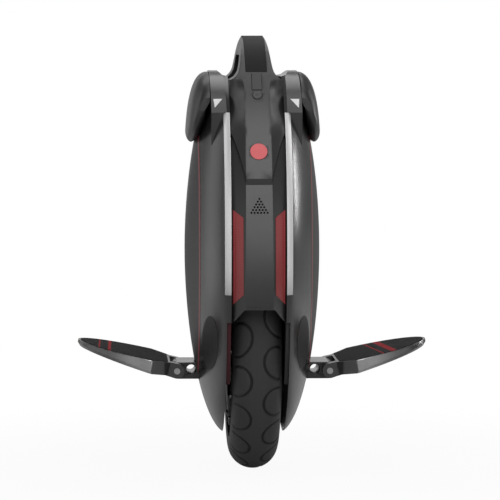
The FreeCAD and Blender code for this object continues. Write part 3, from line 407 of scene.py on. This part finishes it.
# %% Section of the tyre
def arc(radius, start, end, count):
    """Points across and out from the axle on a circle of the section, by the angle from the crown."""
    turns = [math.radians(start + (end - start) * step / count) for step in range(count + 1)]
    return [(radius * math.sin(turn), hoop + radius * math.cos(turn)) for turn in turns]


def mirrored(points):
    return [(-across, out) for across, out in reversed(points)]


wall = 0.006
bead = [(0.0172, 0.1521), (0.0247, 0.1521), (0.0247, 0.1642)]
bead_angle, shoulder_angle, crown_angle, lining_end = 106.1, 74, 9, 141.3
below_rings = arc(section, bead_angle, shoulder_angle, 5)
beside_rings = arc(section, shoulder_angle, crown_angle, 32)
between_rows = arc(section, crown_angle, 0, 3)
flank = below_rings + beside_rings[1:] + between_rows[1:]
skin = flank + mirrored(flank)[1:]
lining = arc(section - wall, -lining_end, lining_end, 10)
outline = bead + skin + mirrored(bead) + lining
print("section of", len(outline), "points,", len(skin), "of them on the skin")

# %% Rings pressed into the skin
rings = 21
pitch = math.tau / rings
first_ring = {-1: math.radians(3.8), 1: math.radians(13.0)}
ring_radius, ring_middle = 0.0242, 0.0325
groove_half, groove_flank, groove_depth = 0.0022, 0.0009, 0.0018
lean, groove_end, groove_fade = 0.41, 0.042, 0.006


def clamped(share):
    return min(max(share, 0), 1)


def pressed(across, out, turn):
    """How deep the skin is pressed in at a point of the section, for a turn down from the rear."""
    angle = math.atan2(across, out - hoop)
    outwards = section * abs(angle)
    row = first_ring[1 if across > 0 else -1]
    drop = section * (1 - math.cos(angle))
    past = turn - row - lean * drop / axle_height
    along = ((past + pitch / 2) % pitch - pitch / 2) * axle_height
    off = abs(math.hypot(along, outwards - ring_middle) - ring_radius)
    inside = clamped((groove_half - off) / groove_flank)
    return groove_depth * inside * clamped((groove_end - outwards) / groove_fade)


print("rings:", rings, "in each row")

# %% Points and faces of the net
steps = rings * 46


def net_points():
    points = []
    for step in range(steps):
        turn = math.tau * step / steps
        for place, (across, out) in enumerate(outline):
            if len(bead) <= place < len(bead) + len(skin):
                kept = 1 - pressed(across, out, turn) / section
                across, out = across * kept, hoop + (out - hoop) * kept
            points.append((across, -out * math.cos(turn), axle_height - out * math.sin(turn)))
    return points


def net_faces():
    size = len(outline)
    faces = []
    for step in range(steps):
        here, there = step * size, (step + 1) % steps * size
        for place in range(size):
            after = (place + 1) % size
            faces.append((here + place, here + after, there + after, there + place))
    return faces


print("net:", steps, "steps round the wheel")

# %% Turn the net
def added(name, data):
    """A new object in the scene."""
    piece = bpy.data.objects.new(name, data)
    bpy.context.scene.collection.objects.link(piece)
    return piece


def tread():
    sharp = math.radians(50)
    mesh = bpy.data.meshes.new("tread")
    mesh.from_pydata(net_points(), [], net_faces())
    mesh.shade_smooth()
    mesh.set_sharp_from_angle(angle=sharp)
    mesh.materials.append(finishes["tyre"].material)
    piece = added("tread", mesh)
    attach(piece, "wheel")
    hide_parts("tyre")
    return piece


print("tread:", len(tread().data.polygons), "faces")

# %% [markdown]
# ## Pedals
# Each pedal is a cast plate with a bare rim, painted round its hinge. The rim mirrors the lamps brightly near
# the hinge and less so outwards, and that is painted: a painted highlight near the hinge and a darker tone
# further out. Its end scrapes the road in a tight turn, which leaves it scratched. One metal with three tones
# laid over it by the distance from the middle gives that without a border between materials.
# A grip sheet lies on top, like the sheet of a skateboard: dark paper with sharp grit. Plain red bands run
# across it at a slant. They could be thin pieces laid on the sheet, but real ones are printed, so they are a
# mask in the colour. The mask is worked out along the plate, which rises outwards from its hinge, so it stays
# with the plate when the pedal folds.

# %% Cast plate
def cast_plate():
    rim_shade_start, rim_shade_fade = 0.172, 0.03
    scraped, scraped_fade = 0.215, 0.03
    paint_end, hinge_end = 0.1385, 0.121
    finish = metal("cast alloy", grey(176), 0.3, tumbled)
    away = abs(finish.place("X"))
    # painted highlight and shade: the rim stays bright near the hinge and turns darker further out
    finish.over(away.above(rim_shade_start, rim_shade_fade), grey(96))
    scrapes = finish.noise(scale=30, detail=4, rough=0.6, at=finish.stretched(6, 1, 3)).above(0.62, 0.06)
    finish.over(scrapes * away.above(scraped, scraped_fade), grey(116))
    bare = away.above(paint_end, 0.001)
    finish.over(1 - bare, grey(108))
    finish.over(1 - away.above(hinge_end, 0.002), grey(58))
    return finish.set(Metallic=bare)


finishes["pedal"] = cast_plate()
print("plate: painted up to 138.5 mm from the middle, scrapes beyond 215 mm")

# %% Grip sheet
def grip_sheet(name, slant, bands):
    """The bands are pairs of distances from the hinge, measured along the plate."""
    hinge, hinge_height, tilt, edge = 0.1035, 0.137, math.radians(12.5), 0.0004
    finish = Finish(name)
    grit = finish.noise(scale=1000, detail=3, rough=0.7)
    out = (abs(finish.place("X")) - hinge) * math.cos(tilt)
    up = (finish.place("Z") - hinge_height) * math.sin(tilt)
    across = out + up + finish.place("Y") * slant
    finish.set(Base_Color=finish.mix(grit.above(0.62, 0.1), grey(30), grey(58)),
               Roughness=grit * 0.2 + 0.65, Normal=finish.bump(grit, 0.0004), Specular_IOR_Level=0.15)
    worn = 1 - grit.above(0.62, 0.08) * 0.6
    for low, high in bands:
        finish.over(across.within(low, high, edge) * worn, rgb(150, 34, 40))
    return finish


finishes["pad"] = grip_sheet("left grip sheet", 0.01, [(0.0935, 0.0975), (0.1085, 0.1105)])
right_sheet = grip_sheet("right grip sheet", 0.08, [(0.0785, 0.0865), (0.0660, 0.0680)])
print("grip sheets: two bands each")

# %% [markdown]
# ## Lenses
# The tail lamps are red plastic over a light guide, a rod along the outer edge, and the inside of the lens is
# cut into fine flutes that spread the light. Real glass with lamps behind it would be dark in daylight, as
# these are, so the lens is a dull red with a clear coat, and the rod shows as a paler line. The headlight is
# clear, so it does transmit, and its flutes stand upright.

# %% Tail lens
def tail_lens():
    guide_low, guide_high, edge = 0.0322, 0.0332, 0.0004
    finish = Finish("tail lens")
    guide = abs(finish.place("X")).within(guide_low, guide_high, edge)
    flutes = finish.wave("Z", scale=90)
    finish.set(Base_Color=finish.mix(flutes, rgb(136, 50, 52), rgb(146, 56, 58)),
               Roughness=flutes * 0.06 + 0.3, Coat_Weight=guide * 0.1 + 0.1, Coat_Roughness=0.12,
               Normal=finish.bump(flutes, 0.00002), Specular_IOR_Level=0.4)
    return finish.over(guide, rgb(176, 84, 86))


finishes["red_lens"] = tail_lens()
print("tail lens: guide line 1 mm wide")

# %% Headlight lens
def clear_lens():
    finish = Finish("headlight lens")
    flutes = finish.wave("X", scale=70)
    return finish.set(Base_Color=finish.mix(flutes, grey(228), grey(240)), Roughness=flutes * 0.05 + 0.06,
                      Normal=finish.bump(flutes, 0.0002), Transmission_Weight=0.85, IOR=1.49)


finishes["clear_lens"] = clear_lens()
print("headlight lens: upright flutes")

# %% [markdown]
# ## Inside
# The battery packs are cells in a blue shrink sleeve, whose round backs show through as soft ribs. The control
# board is green lacquer over copper lines. Both could stay plain, because neither shows until the shells come
# off, but a part in a library gets taken apart. A wave and a brick pattern are enough for them.

# %% Sleeve and board
def shrink_sleeve():
    cells_per_metre, rib = 14, 0.0015
    finish = plastic("shrink sleeve", rgb(34, 62, 128), 0.3)
    return finish.set(Normal=finish.bump(finish.wave("Y", scale=cells_per_metre), rib))


def board_lacquer():
    lines_per_metre = 90
    finish = plastic("board lacquer", rgb(24, 74, 46), 0.35)
    lines = finish.node("ShaderNodeTexBrick", {"offset": 0.5},
                        {"Vector": finish.place(), "Scale": lines_per_metre}, "Fac")
    return finish.over(lines, rgb(120, 116, 60))


finishes["battery"] = shrink_sleeve()
finishes["board"] = board_lacquer()
print("finishes in all:", len(finishes))

# %% [markdown]
# ## The power button
# A power button on such a machine has a pale ring moulded into its face. Text or a sign would have to be a real
# mark, so the ring alone is drawn, as a mask round the button's own middle, measured along the slope that the
# button lies on.

# %% Button ring
def ringed_button():
    slope_along, slope_up = 0.72, 0.69
    ring_low, ring_high, edge = 0.0036, 0.0041, 0.0002
    low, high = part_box("power_button")
    middle = [(one + two) / 2 for one, two in zip(low, high)]
    finish = plastic("button plastic", grey(46), 0.4)
    across = finish.place("X") - middle[0]
    along = (finish.place("Y") - middle[1]) * slope_along + (finish.place("Z") - middle[2]) * slope_up
    return finish.over(round_distance(across, along).within(ring_low, ring_high, edge), grey(84))


button_finish = ringed_button()
print("button ring: radius 3.6 to 4.1 mm")

# %% [markdown]
# ## Giving every solid its finish
# The record of the part names a slot for each solid, such as shell or steel. Choosing by hand would leave some
# solid out, so one loop dresses them all from that list. A few solids share a slot with pieces that look
# different, so a short list of their own comes first.

# %% Dress the solids
marker = lacquer("marker lacquer", grey(226), 0.5, 0.1)
bracket = lacquer("bracket lacquer", grey(28), 0.3, 0.2)
plain_frame = plastic("plain frame plastic", grey(54), 0.6, level=0.2)
own_finish = {
    "inner_frame_right": plain_frame,
    "pole_sleeve": plain_frame,
    "power_button": button_finish,
    "pedal_pad_right": right_sheet,
    "marker_inlay_left": marker,
    "marker_inlay_right": marker,
    "pedal_hanger_left": bracket,
    "pedal_hanger_right": bracket,
    "speaker": plastic("speaker cone", grey(12), 0.8, level=0.1),
}
slot_of = {part["node"]: part["material_slot"] for part in frame["record"]["subparts"]}
for name, solid in nodes.items():
    chosen = own_finish.get(name, finishes[slot_of[name]])
    solid.data.materials.clear()
    solid.data.materials.append(chosen.material)
print("dressed:", len(nodes), "solids in", len(set(slot_of.values())), "slots")

# %% [markdown]
# ## Rounded edges
# No moulded or machined edge is sharp, and the thin line of light along an edge tells the eye how large a thing
# is. A bevel could be cut into the solids, but hundreds of small faces there make the CAD model heavy. A
# modifier does it at the end: points that lie on each other are welded, and each edge that turns by more than a
# given angle gets a narrow round strip.

# %% Soften the edges
same_point = 0.00001


def soften(name, width, sharp):
    solid = nodes[name]
    weld = solid.modifiers.new("weld", "WELD")
    weld.merge_threshold = same_point
    bevel = solid.modifiers.new("soft edge", "BEVEL")
    bevel.width = width
    bevel.segments = 2
    bevel.limit_method = "ANGLE"
    bevel.angle_limit = math.radians(sharp)
    bevel.harden_normals = True


width_and_angle = {
    "carry_handle": (0.0008, 14),
    "front_mudguard": (0.0010, 35),
    "pedal_plate_left": (0.0012, 35),
    "pedal_plate_right": (0.0012, 35),
    "pedal_hanger_left": (0.0008, 35),
    "pedal_hanger_right": (0.0008, 35),
    "rear_trim_left": (0.0005, 35),
    "rear_trim_right": (0.0005, 35),
}
for name, (width, sharp) in width_and_angle.items():
    soften(name, width, sharp)
print("softened:", len(width_and_angle))

# %% [markdown]
# ## Light
# A dark machine on white paper is lit by reflections: what looks like grey plastic is black plastic that
# mirrors a large soft lamp. One lamp on the camera would light it flat. So a tall softbox above the rear is
# there for the spine to mirror, lamps on both sides for the facets and the shells, a narrow one behind on the
# right for the bright line on that shell, and a softbox at the front for whoever walks round. The lamps hide
# from the camera itself.

# %% Softboxes
def softbox(name, at, size, glow):
    """A lamp of a given brightness, whatever its size, that faces the middle of the machine."""
    heart = Vector((0, 0, 0.32))
    lamp = bpy.data.lights.new(name, "AREA")
    lamp.shape = "RECTANGLE"
    lamp.size, lamp.size_y = size
    lamp.energy = glow * math.pi * size[0] * size[1]
    holder = added(name, lamp)
    holder.location = at
    holder.rotation_euler = (heart - Vector(at)).to_track_quat("-Z", "Y").to_euler()
    holder.visible_camera = False
    print(name, "gives", round(lamp.energy, 1), "W")


softbox("rear softbox", (0.1, -1.55, 1.55), (0.9, 2.3), 3.6)
softbox("top softbox", (0.2, 0.1, 2.2), (1.3, 1.3), 1.2)
softbox("right softbox", (1.9, 0.9, 1.4), (0.8, 1.0), 2.0)
softbox("right edge lamp", (1.79, 1.40, 0.58), (0.06, 0.5), 50.0)
softbox("left softbox", (-1.56, 1.56, 0.5), (0.8, 1.0), 0.6)
softbox("left high softbox", (-1.9, 0.9, 1.5), (0.8, 1.0), 1.2)
softbox("front softbox", (-0.3, 1.6, 2.0), (1.4, 1.2), 1.4)

# %% [markdown]
# ## Paper and backdrop
# The machine stands on white paper that rises into a white wall. White light on everything would bleach the
# machine, so the paper and the wall are white only to what looks at them: the camera, glass, and in a mirror
# the wall itself and two pale panels behind the photographer, left and right. Near the machine the paper keeps
# some of its real shade, which holds the shadow, and further out it turns into pure white with no horizon.

# %% Backdrop
def lookers(finish):
    names = ("Is Camera Ray", "Is Transmission Ray", "Is Glossy Ray")
    return [finish.node("ShaderNodeLightPath", out=name) for name in names]


def pale_panels(side, depth, up):
    """1 where a panel stands, by the way that a ray leaves the machine."""
    inner, top, left_end, right_end, soft = 0.3, 0.3, 0.5, 0.1, 0.12
    left = (0 - side).above(inner, soft) * (1 - depth.above(left_end, soft))
    right = side.above(inner, soft) * (1 - depth.above(right_end, soft))
    return (left + right) * (1 - up.above(top, soft))


def backdrop():
    room, panel, paper, fill = 0.12, 0.85, 0.88, 0.25
    world = bpy.data.worlds.new("studio")
    bpy.context.scene.world = world
    world.use_nodes = True
    finish = Finish("studio", world.node_tree)
    camera, glass, mirror = lookers(finish)
    way = finish.node("ShaderNodeTexCoord", out="Generated")
    side, depth, up = [finish.node("ShaderNodeSeparateXYZ", None, {"Vector": way}, axis) for axis in "XYZ"]
    wall_ahead = depth.above(0.975, 0.012)
    mirrored_white = mirror * (room + panel * pale_panels(side, depth, up) + paper * wall_ahead)
    white = camera.math("MAXIMUM", glass).math("MAXIMUM", mirrored_white)
    ground = world.node_tree.nodes["Background"]
    ground.inputs["Color"].default_value = (1, 1, 1, 1)
    finish.feed(ground.inputs["Strength"], white.math("MAXIMUM", fill * (1 - mirror)))


backdrop()
print("backdrop: white to the camera and to glass")

# %% Floor
def paper_finish():
    near, fade, near_white, mirror_white = 0.6, 0.35, 0.94, 0.1
    finish = Finish("floor paper")
    camera, glass, mirror = lookers(finish)
    away = finish.node("ShaderNodeVectorMath", {"operation": "LENGTH"}, {0: finish.place()}, "Value")
    fibre = finish.noise(scale=300, detail=2)
    finish.set(Base_Color=finish.mix(fibre, grey(196), grey(204)), Roughness=fibre * 0.1 + 0.85)
    glow = finish.node("ShaderNodeEmission", None, {"Color": (1, 1, 1, 1), "Strength": 1.0})
    whiter = near_white + (1 - near_white) * away.above(near, fade)
    share = camera.math("MAXIMUM", glass) * whiter + mirror * mirror_white
    shaded = Value(finish, finish.shader.outputs[0])
    both = finish.node("ShaderNodeMixShader", None, {0: share, 1: shaded, 2: glow})
    finish.feed(finish.tree.nodes["Material Output"].inputs["Surface"], both)
    return finish


def floor():
    reach = 6.0
    corners = [(-reach, -reach, 0), (reach, -reach, 0), (reach, reach, 0), (-reach, reach, 0)]
    mesh = bpy.data.meshes.new("floor")
    mesh.from_pydata(corners, [], [(0, 1, 2, 3)])
    mesh.materials.append(paper_finish().material)
    added("floor", mesh)


floor()
bpy.context.scene.view_settings.view_transform = "Standard"
print("floor: shade within about a metre, white beyond")

# %% [markdown]
# ## Camera
# The photograph looks at the rear, a little from the left and from above, through a long lens, because the far
# pedal is hardly smaller than the near one. The place of the camera could be dragged by eye, but then it is
# lost with the next change. It is worked out from two angles, a distance and the point in the middle of the
# picture.

# %% Camera
distance = 5.0
picture_width = 0.683
azimuth = math.radians(-2.4)
elevation = math.radians(3.4)
target = Vector((-0.0025, 0, 0.2976))
level = math.cos(elevation)
back = Vector((math.sin(azimuth) * level, -math.cos(azimuth) * level, math.sin(elevation)))
view = bpy.data.cameras.new("camera")
view.sensor_width = 36
view.lens = view.sensor_width * distance / picture_width
eye = added("camera", view)
eye.location = target + back * distance
eye.rotation_euler = (-back).to_track_quat("-Z", "Y").to_euler()
bpy.context.scene.camera = eye
print("camera: lens", round(view.lens), "mm at", distance, "m")
